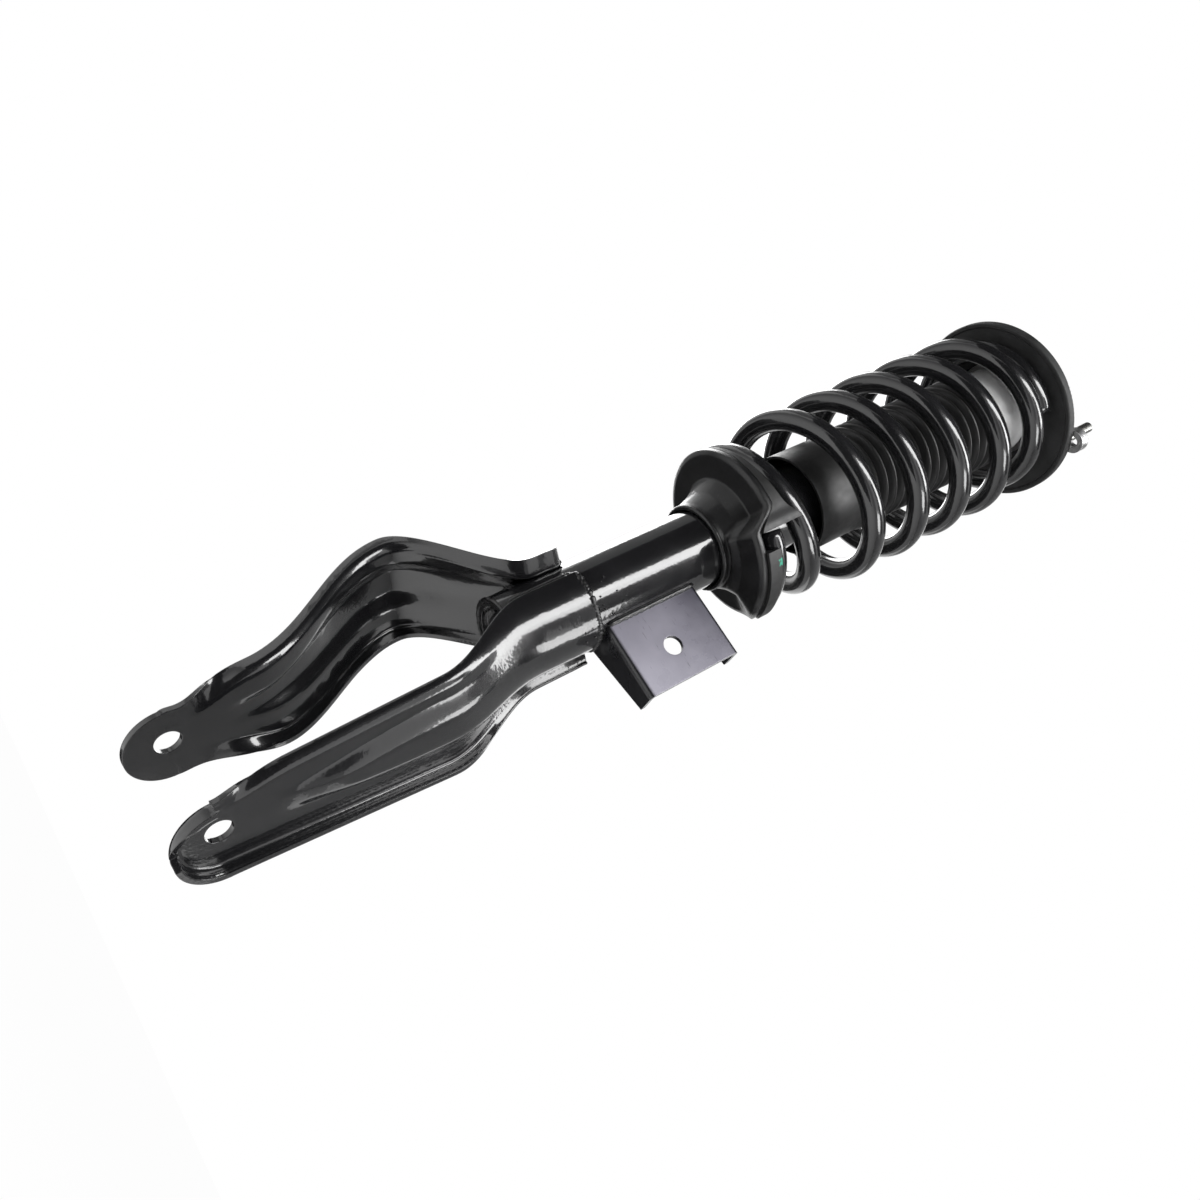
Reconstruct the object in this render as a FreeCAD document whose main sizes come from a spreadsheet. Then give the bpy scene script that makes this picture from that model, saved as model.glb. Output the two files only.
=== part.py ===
import FreeCAD, Part
import math
import os
import re

import Sketcher

from FreeCAD import Vector

# Front coil-over strut with a forked lower end.
# Frame: origin on the fork bolt's axis, midway between the two eyes; +X along that bolt from
# the straight arm to the bowed arm; +Z up the damper's axis towards the top mount.

doc = FreeCAD.newDocument("strut_assembly")
sheet = doc.addObject("Spreadsheet::Sheet", "Sizes")

SIZES = {
    # fork
    "fork_gap": 63.5,            # clear space between the two eyes
    "fork_sheet": 3.5,           # thickness of the pressed steel
    "bolt_hole": 15.0,           # diameter of the fork bolt's holes
    "eye_radius": 24.0,          # eye, to the middle of its edge
    "eye_offset": 3.0,           # eye centre behind the bolt, along -Y
    "back_flare": 0.1,           # how far the arms widen towards -Y, per millimetre of height
    "front_flare": 0.04,         # the same towards +Y
    "rim_height": 9.0,           # edge turned outwards, from the middle of the sheet
    "lip_height": 5.0,           # edge turned inwards, from the middle of the sheet
    "edge_bend": 4.0,            # bend radius of both edges, in the middle of the sheet
    "rib_height": 6.0,           # long rib pressed out of each arm
    "rib_start": 28.0,           # where the rib rises out of the flat eye
    "bow_depth": 45.0,           # how far the bowed arm swings out
    "bow_start": 50.0,
    "bow_crest": 154.0,
    "fork_top": 236.0,           # upper end of the two half shells on the tube
    "shell_gap": 0.2,            # between the half shells and the tube
    # damper
    "tube_radius": 26.0,
    "tube_wall": 2.0,
    "tube_bottom": 185.0,
    "tube_top": 447.0,
    "inner_radius": 18.0,        # bore of the pressure tube
    "inner_wall": 1.5,
    "cap_wall": 3.0,
    "valve_height": 12.0,
    "guide_height": 22.0,
    "seal_height": 9.0,
    "fit": 0.05,                 # radial clearance of the sliding parts
    "seat_gap": 0.3,             # between soft parts and what they rest on
    # piston and rod
    "rod_radius": 9.0,
    "rod_tip_radius": 6.0,
    "rod_bottom": 315.0,
    "rod_top": 696.0,
    "piston_height": 16.0,
    "band_width": 9.0,
    "band_depth": 1.5,
    "nut_height": 9.0,
    "nut_flats": 22.0,
    "disc_height": 2.4,
    "disc_radius": 14.0,
    "stop_height": 14.0,
    "travel": 90.0,
    "stop_radius": 15.0,
    # spring and its seats
    "coil_radius": 58.25,        # centre of the wire in the working coils
    "tail_radius": 50.5,         # centre of the wire in the lowest coil
    "wire_radius": 7.75,
    "coil_pitch": 44.4,
    "tail_low": 358.0,           # end of the wire, in the seat's pocket
    "tail_flat": 376.5,          # the lowest coil, lying on the seat
    "top_pitch": 14.0,
    "phase_angle": 58.4,         # angle at which the second coil passes phase_level
    "phase_level": 427.5,
    "tail_turns": 0.77,          # lowest coil, below the working coils
    "work_turns": 5.35,          # working coils, from the end of the lowest coil
    "top_turns": 0.9,
    "seat_radius": 58.0,
    "seat_level": 363.5,
    "seat_wave": 3.5,
    "pocket_drop": 17.0,
    "seat_sheet": 2.5,
    "seat_lip": 2.5,
    "seat_neck": 336.0,          # lower end of the seat's collar
    "pad_thickness": 3.0,
    # boot
    "skirt_radius": 35.5,
    "skirt_wall": 1.8,
    "skirt_bottom": 418.0,
    "skirt_top": 466.0,
    "skirt_web": 2.5,
    "pleat_radius": 37.0,
    "pleat_depth": 6.5,
    "pleat_wall": 1.2,
    "pleat_pitch": 9.0,
    "pleat_count": 16,
    # top mount
    "cup_radius": 33.5,
    "cup_wall": 1.6,
    "cup_bottom": 610.6,
    "cup_top": 640.0,
    "top_seat_radius": 68.5,
    "top_seat_bore": 37.0,
    "top_seat_low": 640.5,
    "top_seat_rim": 6.9,
    "top_seat_lip": 1.2,
    "plate_radius": 62.0,
    "plate_low": 647.7,
    "plate_thickness": 7.0,
    "hub_radius": 34.0,
    "hub_height": 26.0,
    "bush_radius": 25.0,
    "sleeve_radius": 12.0,
    "ear_circle": 68.0,
    "ear_radius": 9.0,
    "ear_hole": 9.0,
    "ear_angle": 173.0,
    "stud_circle": 56.0,
    "stud_radius": 4.0,
    "shank_radius": 4.6,         # knurled part of the stud, pressed into the plate
    "stud_height": 36.0,         # above the plate
    "stud_angle": 181.0,
    "stud_spread": 105.0,        # between neighbours: unequal, so the mount fits one way round
    "bump_radius": 23.0,
    "bump_length": 52.0,
    "bump_bore": 9.6,
    "washer_radius": 20.0,
    "washer_thickness": 3.0,
    # side bracket
    "bracket_low": 243.0,
    "bracket_length": 70.0,
    "bracket_reach": 51.0,
    "bracket_sheet": 3.0,
    "bracket_depth": 33.0,
    "bracket_tip_depth": 19.0,
    "bracket_angle": 23.0,
    "bracket_hole": 12.5,
    "bracket_hole_reach": 28.8,
    "bracket_hole_low": 32.5,
}

for row, (name, value) in enumerate(SIZES.items(), start=1):
    sheet.set("A%d" % row, name)
    sheet.set("B%d" % row, str(value))
    sheet.setAlias("B%d" % row, name)
doc.recompute()


def size(name):
    return float(sheet.get(name))


def bound(text):
    """The names in an expression become cells of the sheet."""
    return re.sub(r"([a-z][a-z_]+)", r"Sizes.\1", text)


def value_of(text):
    return float(sheet.evalExpression(text))


nodes = {}


def keep(label, item):
    item.Label = label
    nodes[label] = item
    return item


# ------------------------------------------------------------- building blocks

def plane_of(body, role):
    return next(f for f in body.Origin.OriginFeatures if f.Role == role)


def outline(body, points):
    """A closed outline in the XZ plane. Each corner is a pair of expressions of the sheet."""
    sketch = body.newObject("Sketcher::SketchObject", body.Name + "_outline")
    sketch.AttachmentSupport = [(plane_of(body, "XZ_Plane"), "")]
    sketch.MapMode = "FlatFace"
    corners = [Vector(value_of(x), value_of(z), 0) for x, z in points]
    count = len(corners)
    for i in range(count):
        sketch.addGeometry(Part.LineSegment(corners[i], corners[(i + 1) % count]), False)
    for i in range(count):
        sketch.addConstraint(Sketcher.Constraint("Coincident", i, 2, (i + 1) % count, 1))
    for i, (x, z) in enumerate(points):
        if x == "0":
            sketch.addConstraint(Sketcher.Constraint("PointOnObject", i, 1, -2))
        else:
            held = sketch.addConstraint(Sketcher.Constraint("DistanceX", -1, 1, i, 1, corners[i].x))
            sketch.setExpression("Constraints[%d]" % held, bound(x))
        held = sketch.addConstraint(Sketcher.Constraint("DistanceY", -1, 1, i, 1, corners[i].y))
        sketch.setExpression("Constraints[%d]" % held, bound(z))
    return sketch


def turned(name, points, rounded=()):
    """A body of revolution about Z. rounded holds (radius of the edge, its height, fillet)."""
    body = doc.addObject("PartDesign::Body", name)
    sketch = outline(body, points)
    solid = body.newObject("PartDesign::Revolution", name + "_turned")
    solid.Profile = sketch
    solid.ReferenceAxis = (sketch, ["V_Axis"])
    solid.Angle = 360.0
    sketch.Visibility = False
    doc.recompute()
    for number, (radius, height, fillet) in enumerate(rounded):
        wanted = (value_of(radius), value_of(height))
        edges = []
        for index, edge in enumerate(solid.Shape.Edges, start=1):
            centre = getattr(edge.Curve, "Center", None)
            if centre is None or abs(centre.x) > 0.01 or abs(centre.y) > 0.01:
                continue
            if math.dist(wanted, (edge.Curve.Radius, centre.z)) < 0.01:
                edges.append("Edge%d" % index)
        soft = body.newObject("PartDesign::Fillet", "%s_round%d" % (name, number))
        soft.Base = (solid, edges)
        soft.setExpression("Radius", bound(fillet))
        doc.recompute()
        solid = soft
    return body


def ring(name, inner, outer, low, high, rounded=()):
    corners = [(inner, low), (outer, low), (outer, high), (inner, high)]
    return turned(name, corners, rounded)


def cylinder(name, radius, low, high, x="0", y="0"):
    item = doc.addObject("Part::Cylinder", name)
    item.setExpression("Radius", bound(radius))
    item.setExpression("Height", bound("(%s) - (%s)" % (high, low)))
    item.setExpression("Placement.Base.x", bound(x))
    item.setExpression("Placement.Base.y", bound(y))
    item.setExpression("Placement.Base.z", bound(low))
    return item


def joined(name, pieces):
    item = doc.addObject("Part::MultiFuse", name)
    item.Shapes = pieces
    return item


def cut(name, base, tool):
    item = doc.addObject("Part::Cut", name)
    item.Base = base
    item.Tool = tool
    return item


def shaped(label, shape):
    """A piece whose surface is a formula, from Part's own functions."""
    item = doc.addObject("Part::Feature", label)
    item.Shape = shape
    item.Placement = FreeCAD.Placement()
    return item


def ease(value, start, end):
    """0 before start, 1 after end, and a half cosine between."""
    part = min(1.0, max(0.0, (value - start) / (end - start)))
    return 0.5 - 0.5 * math.cos(math.pi * part)


def mix(first, second, share):
    return first + (second - first) * share


# ------------------------------------------------------------------- fork halves

SHEET = size("fork_sheet")
ARM = size("fork_gap") / 2 + SHEET / 2
SHELL = size("tube_radius") + size("shell_gap") + SHEET / 2
FORK_TOP = size("fork_top")
EYE_LOW = -(size("eye_offset") + size("eye_radius"))
EYE_HIGH = size("eye_radius") - size("eye_offset")
WRAP_START = 130.0 / 236.0          # share of the fork's height where the arms close in
WRAP_END = 200.0 / 236.0
SEAM_ANGLE = math.radians(87.0)
RIM_ANGLE = math.radians(-61.0)
FLAP_POINTS = 6
WEB_POINTS = 26


def flap(y, out, length, fold, turn):
    """An edge that goes on from height y of the web and is folded by an angle.

    turn is 1 for an edge turned outwards and -1 for one turned inwards."""
    bend = size("edge_bend")
    points = []
    for i in range(1, FLAP_POINTS + 1):
        run = length * i / FLAP_POINTS
        angle = min(fold, run / bend)
        rest = run - bend * angle
        across = bend * math.sin(angle) + rest * math.cos(angle)
        away = bend * (1 - math.cos(angle)) + rest * math.sin(angle)
        points.append((out + turn * away, y + across))
    return points


def arm_section(z, bowed):
    """Middle line of an arm's sheet at height z, from its inward lip to its outward rim.

    Each point is (distance out from the strut's axis, distance towards the rim's side)."""
    bend = size("edge_bend")
    arc = bend * math.pi / 2
    lip_length = size("lip_height") - bend + arc
    rim_length = size("rim_height") - bend + arc
    front = EYE_HIGH + size("front_flare") * z
    back = -EYE_LOW + size("back_flare") * min(z, WRAP_START * FORK_TOP)
    if bowed:
        rim_side, lip_side, eye_rim, eye_lip = front, back, EYE_HIGH, -EYE_LOW
        lip_fold = ease(z, 10, 70)
        rim_fold = ease(z, 10, 50)
        lip_length = lip_length + size("lip_height")
        out = ARM + size("bow_depth") * ease(z, size("bow_start"), size("bow_crest"))
    else:
        rim_side, lip_side, eye_rim, eye_lip = back, front, -EYE_LOW, EYE_HIGH
        lip_fold = ease(z, 0, 40)
        rim_fold = 1.0
        out = ARM
    high = mix(eye_rim - rim_length, rim_side - bend, rim_fold)
    low = mix(eye_lip - lip_length, lip_side - bend, lip_fold)
    rise = size("rib_height") * ease(z, size("rib_start"), size("rib_start") + 50)
    half_rib = 9.0 + 13.0 * ease(z, size("rib_start"), WRAP_START * FORK_TOP)
    middle = (high - low) / 4
    points = [(x, -y) for x, y in reversed(flap(low, out, lip_length, lip_fold * math.pi / 2, -1))]
    for i in range(WEB_POINTS + 1):
        across = mix(-low, high, i / WEB_POINTS)
        points.append((out + rise * ease(-abs(across - middle), -half_rib, -half_rib * 0.3), across))
    return points + flap(high, out, rim_length, rim_fold * math.pi / 2, 1)


def shell_section(count):
    """The same line where the sheet wraps the damper tube: an arc, then the rim."""
    rim_points = FLAP_POINTS
    arc = count - rim_points
    points = []
    for i in range(arc):
        a = mix(SEAM_ANGLE, RIM_ANGLE, i / (arc - 1))
        points.append((SHELL * math.cos(a), -SHELL * math.sin(a)))
    for i in range(1, rim_points + 1):
        reach = (size("rim_height") + 2) * i / rim_points
        points.append((points[arc - 1][0] + 0.45 * reach, points[arc - 1][1] + 0.89 * reach))
    return points


def offset_pair(line, sheet_thickness):
    """The two faces of a sheet about its middle line."""
    outer, inner = [], []
    last = len(line) - 1
    for i, (x, y) in enumerate(line):
        ahead = line[min(i + 1, last)]
        behind = line[max(i - 1, 0)]
        along = (ahead[0] - behind[0], ahead[1] - behind[1])
        length = math.hypot(*along)
        nx, ny = along[1] / length, -along[0] / length
        outer.append((x + nx * sheet_thickness / 2, y + ny * sheet_thickness / 2))
        inner.append((x - nx * sheet_thickness / 2, y - ny * sheet_thickness / 2))
    return outer, inner


def skin(rows):
    surface = Part.BSplineSurface()
    surface.interpolate(rows)
    return surface


def sheet_between(outer_rows, inner_rows):
    """A closed solid between two grids of points."""
    outer, inner = skin(outer_rows), skin(inner_rows)
    faces = [outer.toShape(), inner.toShape()]
    first_u, last_u, first_v, last_v = outer.bounds()
    for surface_iso, at in (("uIso", first_u), ("uIso", last_u), ("vIso", first_v), ("vIso", last_v)):
        edge_a = getattr(outer, surface_iso)(at).toShape()
        edge_b = getattr(inner, surface_iso)(at).toShape()
        faces += Part.makeLoft([Part.Wire(edge_a), Part.Wire(edge_b)], False, True).Faces
    shell = Part.makeShell(faces)
    shell.sewShape()
    solid = Part.makeSolid(shell)
    if solid.Volume < 0:
        solid.reverse()
    return solid


def fork_blank(bowed):
    stations = 30
    outer_rows, inner_rows = [], []
    side = 1 if bowed else -1
    start = WRAP_START + (0.10 if bowed else 0.0)
    end = WRAP_END + (0.08 if bowed else 0.0)
    for step in range(stations + 1):
        z = FORK_TOP * step / stations
        line = arm_section(z, bowed)
        wrap = ease(z, start * FORK_TOP, end * FORK_TOP)
        shell = shell_section(len(line))
        line = [(mix(a[0], b[0], wrap), mix(a[1], b[1], wrap)) for a, b in zip(line, shell)]
        outer, inner = offset_pair(line, SHEET)
        outer_rows.append([Vector(side * x, side * y, z) for x, y in outer])
        inner_rows.append([Vector(side * x, side * y, z) for x, y in inner])
    return sheet_between(outer_rows, inner_rows)


def eye_blank(arm, bowed):
    """The round end below the bolt: half of the arm's lowest section, turned about the eye's centre."""
    reach = 200
    centre = Vector(0, -size("eye_offset"), 0)
    low = min(arm.Faces, key=lambda face: face.BoundBox.ZMax)
    half = Part.makeBox(reach, reach, reach, Vector(-reach / 2, centre.y - reach, -reach / 2))
    blank = low.common(half).Faces[0].revolve(centre, Vector(1, 0, 0), 180)
    if not bowed:
        # the turned edge fades out towards the front of the eye
        plane = Vector(-ARM - SHEET / 2, centre.y, 0)
        cutter = Part.makeBox(60, 90, 60, plane + Vector(-60, 0, -45))
        cutter.rotate(plane, Vector(0, 0, 1), 20)
        blank = blank.cut(cutter)
    return blank


def fork_half(label, bowed):
    side = 1 if bowed else -1
    arm = fork_blank(bowed)
    blank = arm.fuse(eye_blank(arm, bowed))
    start = Vector(side * (size("fork_gap") / 2 - 5), 0, 0)
    hole = Part.makeCylinder(size("bolt_hole") / 2, SHEET + 10, start, Vector(side, 0, 0))
    return shaped(label, blank.cut(hole))


keep("fork_straight_half", fork_half("fork_straight_half", False))
keep("fork_bowed_half", fork_half("fork_bowed_half", True))

# ------------------------------------------------------------------- damper tube

LIP_INNER = "rod_radius + 4"
keep("damper_tube", turned("damper_tube", [
    ("tube_radius - tube_wall", "tube_bottom"),
    ("tube_radius", "tube_bottom"),
    ("tube_radius", "tube_top"),
    (LIP_INNER, "tube_top"),
    (LIP_INNER, "tube_top - tube_wall"),
    ("tube_radius - tube_wall", "tube_top - tube_wall"),
], [("tube_radius", "tube_top", "tube_wall * 1.2")]))

CAP_EDGE = "tube_radius - tube_wall - fit"
keep("tube_cap", turned("tube_cap", [
    ("0", "tube_bottom + 4"),
    ("7", "tube_bottom + 4"),
    ("9", "tube_bottom + 1.5"),
    ("14", "tube_bottom + 1.5"),
    ("17", "tube_bottom + 4"),
    ("20", "tube_bottom + 4"),
    ("21", "tube_bottom + 0.5"),
    (CAP_EDGE, "tube_bottom + 0.5"),
    (CAP_EDGE, "tube_bottom + 4 + cap_wall"),
    ("0", "tube_bottom + 4 + cap_wall"),
]))

VALVE_LOW = "tube_bottom + 4 + cap_wall"
INNER_LOW = VALVE_LOW + " + valve_height / 2"
GUIDE_TOP = "tube_top - tube_wall - seal_height"
GUIDE_LOW = GUIDE_TOP + " - guide_height"
keep("base_valve", turned("base_valve", [
    ("0", VALVE_LOW),
    ("inner_radius + inner_wall", VALVE_LOW),
    ("inner_radius + inner_wall", INNER_LOW),
    ("inner_radius - fit", INNER_LOW),
    ("inner_radius - fit", VALVE_LOW + " + valve_height"),
    ("0", VALVE_LOW + " + valve_height"),
]))
keep("pressure_tube", ring("pressure_tube", "inner_radius", "inner_radius + inner_wall",
                           INNER_LOW, GUIDE_LOW + " + 8"))
keep("rod_guide", turned("rod_guide", [
    ("rod_radius + fit", GUIDE_LOW),
    ("inner_radius - fit", GUIDE_LOW),
    ("inner_radius - fit", GUIDE_LOW + " + 8"),
    (CAP_EDGE, GUIDE_LOW + " + 8"),
    (CAP_EDGE, GUIDE_TOP),
    ("rod_radius + fit", GUIDE_TOP),
]))
keep("rod_seal", ring("rod_seal", "rod_radius + fit", CAP_EDGE,
                      GUIDE_TOP, "tube_top - tube_wall"))

# ---------------------------------------------------------- piston rod and piston

PISTON_TOP = "rod_bottom + piston_height"
ROD_SHOULDER = PISTON_TOP + " + disc_height"
keep("piston_rod", turned("piston_rod", [
    ("0", "rod_bottom - nut_height - 3"),
    ("rod_tip_radius", "rod_bottom - nut_height - 3"),
    ("rod_tip_radius", ROD_SHOULDER),
    ("rod_radius", ROD_SHOULDER),
    ("rod_radius", "cup_top - cup_wall"),
    ("rod_tip_radius", "cup_top - cup_wall"),
    ("rod_tip_radius", "rod_top"),
    ("0", "rod_top"),
], [("rod_tip_radius", "rod_top", "rod_tip_radius / 6")]))
PISTON_RADIUS = "inner_radius - fit - band_depth"
BAND_LOW = "rod_bottom + (piston_height - band_width) / 2"
keep("piston", turned("piston", [
    ("rod_tip_radius", "rod_bottom"),
    ("inner_radius - 2 * fit", "rod_bottom"),
    ("inner_radius - 2 * fit", BAND_LOW),
    (PISTON_RADIUS, BAND_LOW),
    (PISTON_RADIUS, BAND_LOW + " + band_width"),
    ("inner_radius - 2 * fit", BAND_LOW + " + band_width"),
    ("inner_radius - 2 * fit", PISTON_TOP),
    ("rod_tip_radius", PISTON_TOP),
]))
keep("piston_band", ring("piston_band", PISTON_RADIUS, "inner_radius - fit",
                         BAND_LOW, BAND_LOW + " + band_width"))
keep("valve_discs", ring("valve_discs", "rod_tip_radius", "disc_radius", PISTON_TOP, ROD_SHOULDER))


def hexagon_nut(label, low, high, flats, bore):
    blank = doc.addObject("Part::Prism", label + "_blank")
    blank.Polygon = 6
    blank.setExpression("Circumradius", bound("%s / 1.7320508" % flats))
    blank.setExpression("Height", bound("(%s) - (%s)" % (high, low)))
    blank.setExpression("Placement.Base.z", bound(low))
    hole = cylinder(label + "_bore", bore, low + " - 1", high + " + 1")
    return keep(label, cut(label, blank, hole))


hexagon_nut("piston_nut", "rod_bottom - nut_height", "rod_bottom", "nut_flats", "rod_tip_radius")
STOP_TOP = GUIDE_LOW + " - seat_gap"
keep("rebound_stop", ring("rebound_stop", "rod_radius", "stop_radius",
                          STOP_TOP + " - stop_height", STOP_TOP,
                          [("stop_radius", STOP_TOP, "stop_height / 5")]))

# --------------------------------------------------------------------- coil spring

WIRE = size("wire_radius")


def hermite(share, first, last, first_slope, last_slope):
    """A smooth step between two values with given slopes at its ends."""
    t = share
    return ((2 * t ** 3 - 3 * t ** 2 + 1) * first + (t ** 3 - 2 * t ** 2 + t) * first_slope
            + (3 * t ** 2 - 2 * t ** 3) * last + (t ** 3 - t ** 2) * last_slope)


LIFT_START, LIFT_END = 0.1, 0.6      # turns over which the wire leaves the seat
DIP_START, DIP_END = 0.14, 0.32      # turns after the wire's end over which it climbs out of the pocket


def coil_point(turn):
    """Centre of the wire; turn counts from the angle where the working coils begin."""
    work, tail = size("work_turns"), size("tail_turns")
    base = size("phase_level") - size("coil_pitch")
    flat, low = size("tail_flat"), size("tail_low")
    lift = LIFT_END - LIFT_START
    if turn < LIFT_START:
        z = mix(low, flat, ease(turn + tail, DIP_START, DIP_END))
    elif turn < LIFT_END:
        z = hermite((turn - LIFT_START) / lift, flat, base + size("coil_pitch") * LIFT_END,
                    size("coil_pitch") * lift / 3, size("coil_pitch") * lift)
    elif turn < work:
        z = base + size("coil_pitch") * turn
    else:
        z = base + size("coil_pitch") * work + size("top_pitch") * (turn - work)
    grow = ease(turn, 0.45, 1.0)
    shrink = ease(turn, work - 0.3, work + 0.15)
    radius = mix(size("tail_radius"), size("coil_radius"), grow - shrink)
    angle = math.radians(size("phase_angle")) + 2 * math.pi * turn
    return radius, angle, z


def wire_centre(turn):
    radius, angle, z = coil_point(turn)
    return Vector(radius * math.cos(angle), radius * math.sin(angle), z)


def spring_solid():
    first = -size("tail_turns")
    last = size("work_turns") + size("top_turns")
    steps = round((last - first) * 20)
    path = Part.BSplineCurve()
    path.interpolate([wire_centre(mix(first, last, i / steps)) for i in range(steps + 1)])
    start = wire_centre(first)
    ring_edge = Part.makeCircle(WIRE, start, path.tangent(path.FirstParameter)[0])
    return Part.Wire(path.toShape()).makePipeShell([Part.Wire(ring_edge)], True, True)


keep("coil_spring", shaped("coil_spring", spring_solid()))

# --------------------------------------------------- lower spring seat and its pad

WIRE_END = size("phase_angle") - 360 * size("tail_turns")
CREST = 330.0                        # angle where the seat's rim stands highest
POCKET = (-18.0, -1.0, 54.0, 104.0)  # degrees after the wire's end: drop, floor, floor, climb


def wire_low(degrees):
    """Radius and level of the wire's centre, degrees after the end of the wire."""
    radius, angle, z = coil_point(-size("tail_turns") + degrees / 360)
    return radius, z


def pocket_share(degrees):
    """1 in the pocket under the wire's end, 0 on the rest of the seat."""
    drop, floor, rise, climb = POCKET
    return ease(degrees, 360 + drop, 360 + floor) + 1 - ease(degrees, rise, climb)


def seat_level(degrees):
    wave = size("seat_wave") * math.cos(math.radians(WIRE_END + degrees - CREST))
    return size("seat_level") + wave - size("pocket_drop") * pocket_share(degrees)


def at_angle(degrees, radius, z):
    a = math.radians(WIRE_END + degrees)
    return Vector(radius * math.cos(a), radius * math.sin(a), z)


def polygon(points):
    return Part.makePolygon(points + points[:1])


# Degrees after the wire's end at which seat and pad are shaped: close together at the step.
STATIONS = [10 * i for i in range(34)] + [340 + 2.5 * i for i in range(8)]


def seat_section(degrees):
    """One radial section of the pressed seat: collar on the tube, flared dish, floor and upturned lip."""
    thick = size("seat_sheet")
    neck = size("seat_neck")
    bore = size("tube_radius") + size("shell_gap")
    rim = size("seat_radius")
    level = seat_level(degrees)
    top = level + size("seat_lip")
    flare = bore + (rim - bore) * 0.42
    profile = [
        (bore, neck), (bore + thick, neck), (bore + thick + 1, neck + 4),
        (mix(bore + thick, flare, 0.45), mix(neck, level, 0.62) - thick), (flare, level - thick - 0.6),
        (rim - 3, level - thick), (rim, level - thick * 0.4), (rim, top), (rim - thick, top),
        (rim - thick, level), (flare, level - 0.4), (mix(bore + thick, flare, 0.35), mix(neck, level, 0.70)),
        (bore + thick, neck + 9), (bore, neck + 7),
    ]
    return polygon([at_angle(degrees, r, z) for r, z in profile])


def pad_section(degrees):
    """One radial section of the rubber: foot inside the seat's lip, groove under the wire."""
    gap = size("seat_gap")
    radius, z = wire_low(degrees)
    floor = seat_level(degrees) + gap
    lip = seat_level(degrees) + size("seat_lip") + gap
    rim = size("seat_radius")
    inside = rim - size("seat_sheet") - gap
    hug = (WIRE + 3 * gap) / math.cos(math.radians(15))
    outer_side = mix(30, 75, pocket_share(degrees))
    groove = [(radius + hug * math.sin(b), z - hug * math.cos(b))
              for b in (math.radians(mix(outer_side, -40, i / 4)) for i in range(5))]
    inner = groove[-1][0]
    top = max(groove[0][1], lip + gap)
    edge = max(rim, groove[0][0] + 1)
    profile = [(inner, floor), (inside, floor), (inside, lip), (edge, lip), (edge, top)] + groove
    return polygon([at_angle(degrees, r, level) for r, level in profile])


def seat_solid():
    return Part.makeLoft([seat_section(degrees) for degrees in STATIONS], True, False, True)


def pad_solid():
    return Part.makeLoft([pad_section(degrees) for degrees in STATIONS[1:]], True, False)


keep("lower_spring_seat", shaped("lower_spring_seat", seat_solid()))
keep("lower_seat_pad", shaped("lower_seat_pad", pad_solid()))

# ------------------------------------------------------------------- dust boot

WEB_LOW = "tube_top + seat_gap"
BOOT_BORE = "pleat_radius - pleat_depth - pleat_wall"
keep("boot_skirt", turned("boot_skirt", [
    ("rod_radius + 3", WEB_LOW),
    ("skirt_radius - skirt_wall", WEB_LOW),
    ("skirt_radius - skirt_wall", "skirt_bottom"),
    ("skirt_radius", "skirt_bottom"),
    ("skirt_radius", "skirt_top"),
    (BOOT_BORE, "skirt_top"),
    (BOOT_BORE, "skirt_top - 3"),
    ("skirt_radius - 2 * skirt_wall", "skirt_top - 3"),
    ("skirt_radius - 2 * skirt_wall", WEB_LOW + " + skirt_web"),
    ("rod_radius + 3", WEB_LOW + " + skirt_web"),
], [("skirt_radius", "skirt_top", "skirt_wall * 1.5")]))


def boot_body():
    """One pleat, turned and repeated up the rod."""
    low = "skirt_top + seat_gap"
    valley = "pleat_radius - pleat_depth"
    body = turned("dust_boot", [
        (valley, low),
        ("pleat_radius", low + " + pleat_pitch / 2"),
        (valley, low + " + pleat_pitch"),
        (valley + " - pleat_wall", low + " + pleat_pitch"),
        ("pleat_radius - 1.6 * pleat_wall", low + " + pleat_pitch / 2"),
        (valley + " - pleat_wall", low),
    ])
    pattern = body.newObject("PartDesign::LinearPattern", "dust_boot_pleats")
    pattern.Originals = [body.Group[-2]]
    pattern.Direction = (plane_of(body, "Z_Axis"), [""])
    pattern.setExpression("Length", bound("(pleat_count - 1) * pleat_pitch"))
    pattern.setExpression("Occurrences", bound("pleat_count"))
    body.Tip = pattern
    return body


keep("dust_boot", boot_body())

# ------------------------------------------------------------------- top mount

keep("bump_cup", turned("bump_cup", [
    ("rod_tip_radius", "cup_top - cup_wall"),
    ("cup_radius - 2 * cup_wall", "cup_top - cup_wall"),
    ("cup_radius - 2 * cup_wall - 2", "cup_bottom"),
    ("cup_radius - cup_wall - 2", "cup_bottom"),
    ("cup_radius", "cup_top - 3 * cup_wall"),
    ("cup_radius", "cup_top"),
    ("rod_tip_radius", "cup_top"),
], [("cup_radius", "cup_top", "cup_wall")]))
BUMP_TOP = "cup_top - cup_wall - seat_gap"
keep("bump_stop", turned("bump_stop", [
    ("bump_bore", BUMP_TOP),
    ("bump_bore", BUMP_TOP + " - bump_length"),
    ("bump_radius - 8", BUMP_TOP + " - bump_length"),
    ("bump_radius - 5", BUMP_TOP + " - bump_length * 0.8"),
    ("bump_radius - 8", BUMP_TOP + " - bump_length * 0.62"),
    ("bump_radius", BUMP_TOP + " - bump_length * 0.4"),
    ("bump_radius", BUMP_TOP),
]))
keep("upper_seat_pad", turned("upper_seat_pad", [
    ("top_seat_bore", "top_seat_low + top_seat_lip"),
    ("top_seat_radius - 4", "top_seat_low + top_seat_lip"),
    ("top_seat_radius - 3", "top_seat_low"),
    ("top_seat_radius", "top_seat_low"),
    ("top_seat_radius", "top_seat_low + top_seat_rim"),
    ("top_seat_bore", "top_seat_low + top_seat_rim"),
], [("top_seat_radius", "top_seat_low", "top_seat_lip"),
    ("top_seat_radius", "top_seat_low + top_seat_rim", "top_seat_lip")]))

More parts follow.
